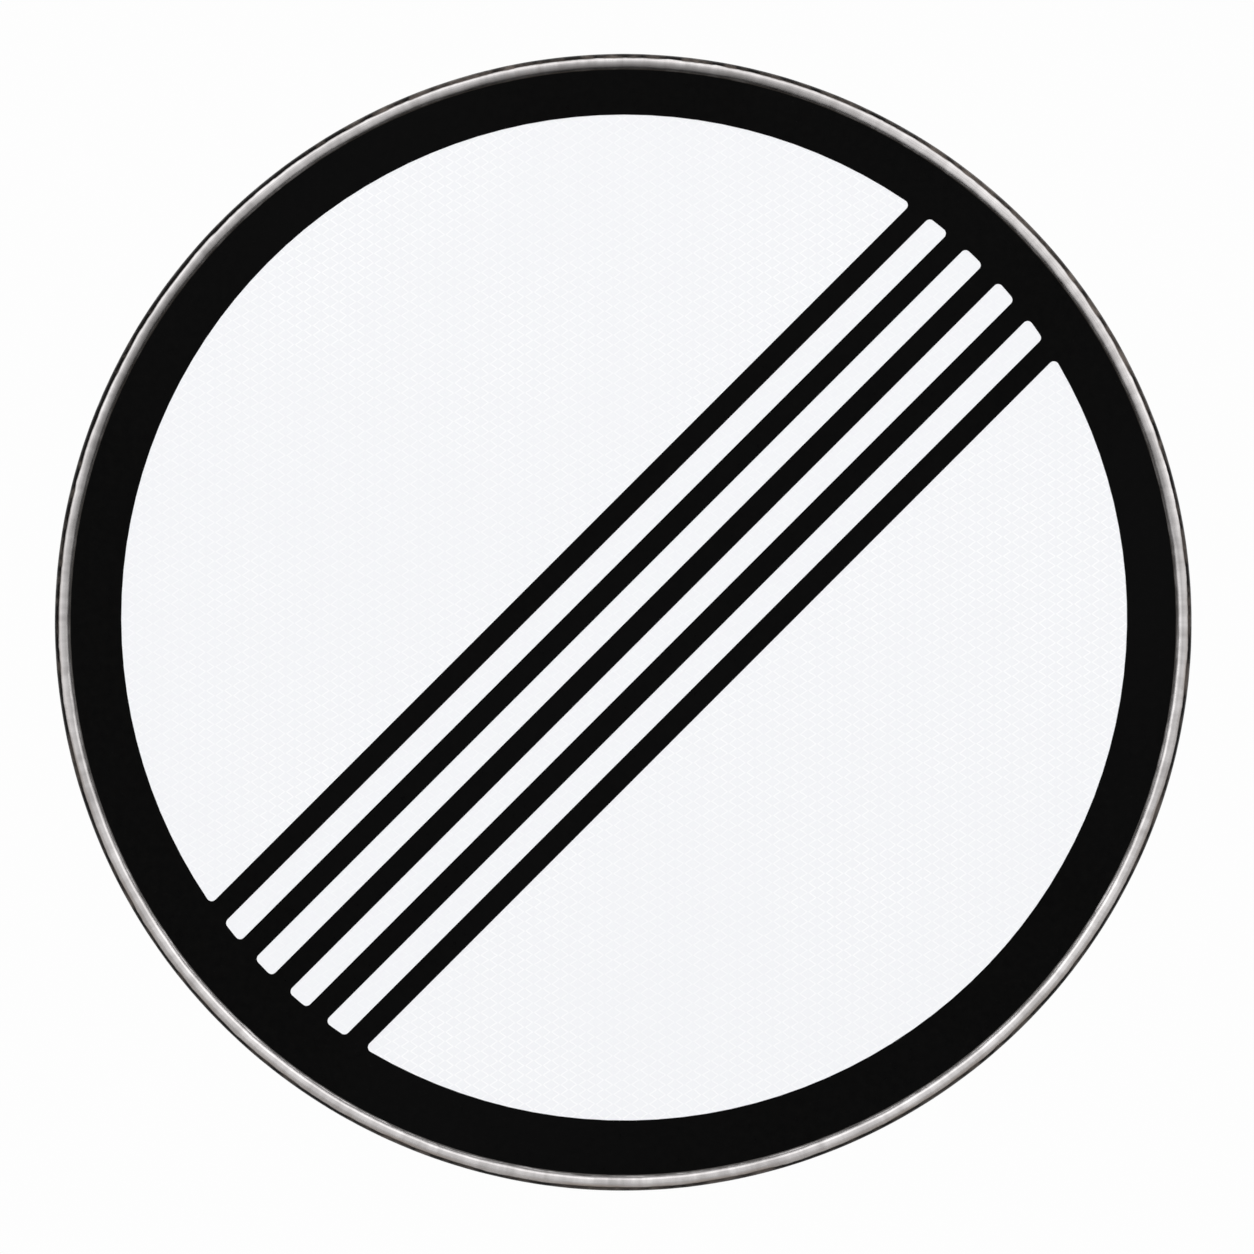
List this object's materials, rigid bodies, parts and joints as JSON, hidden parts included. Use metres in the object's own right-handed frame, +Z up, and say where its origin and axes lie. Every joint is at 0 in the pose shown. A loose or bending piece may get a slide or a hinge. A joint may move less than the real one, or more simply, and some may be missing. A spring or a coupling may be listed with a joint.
{
  "type": "derestriction road sign",
  "caption": "Round steel derestriction road sign with a beaded rim, black border and diagonal black bars on white reflective sheeting, and slotted rear rails for post clamps.",
  "frame": {"origin": "middle of the rails' rear faces, at the centre of the four bolt slots", "axes": "+Z up, the face looks along -Y, +Y points to the post"},
  "size_m": [0.5999, 0.0293, 0.6],
  "materials": {
    "plate_steel": "galvanised",
    "white_sheeting": "reflective",
    "black_overlay": "gloss",
    "rail_steel": "galvanised"
  },
  "bodies": {
    "root": {"sign_plate": "plate_steel", "reflective_sheet": "white_sheeting", "black_film": "black_overlay", "upper_rail": "rail_steel", "lower_rail": "rail_steel"}
  },
  "joints": []
}
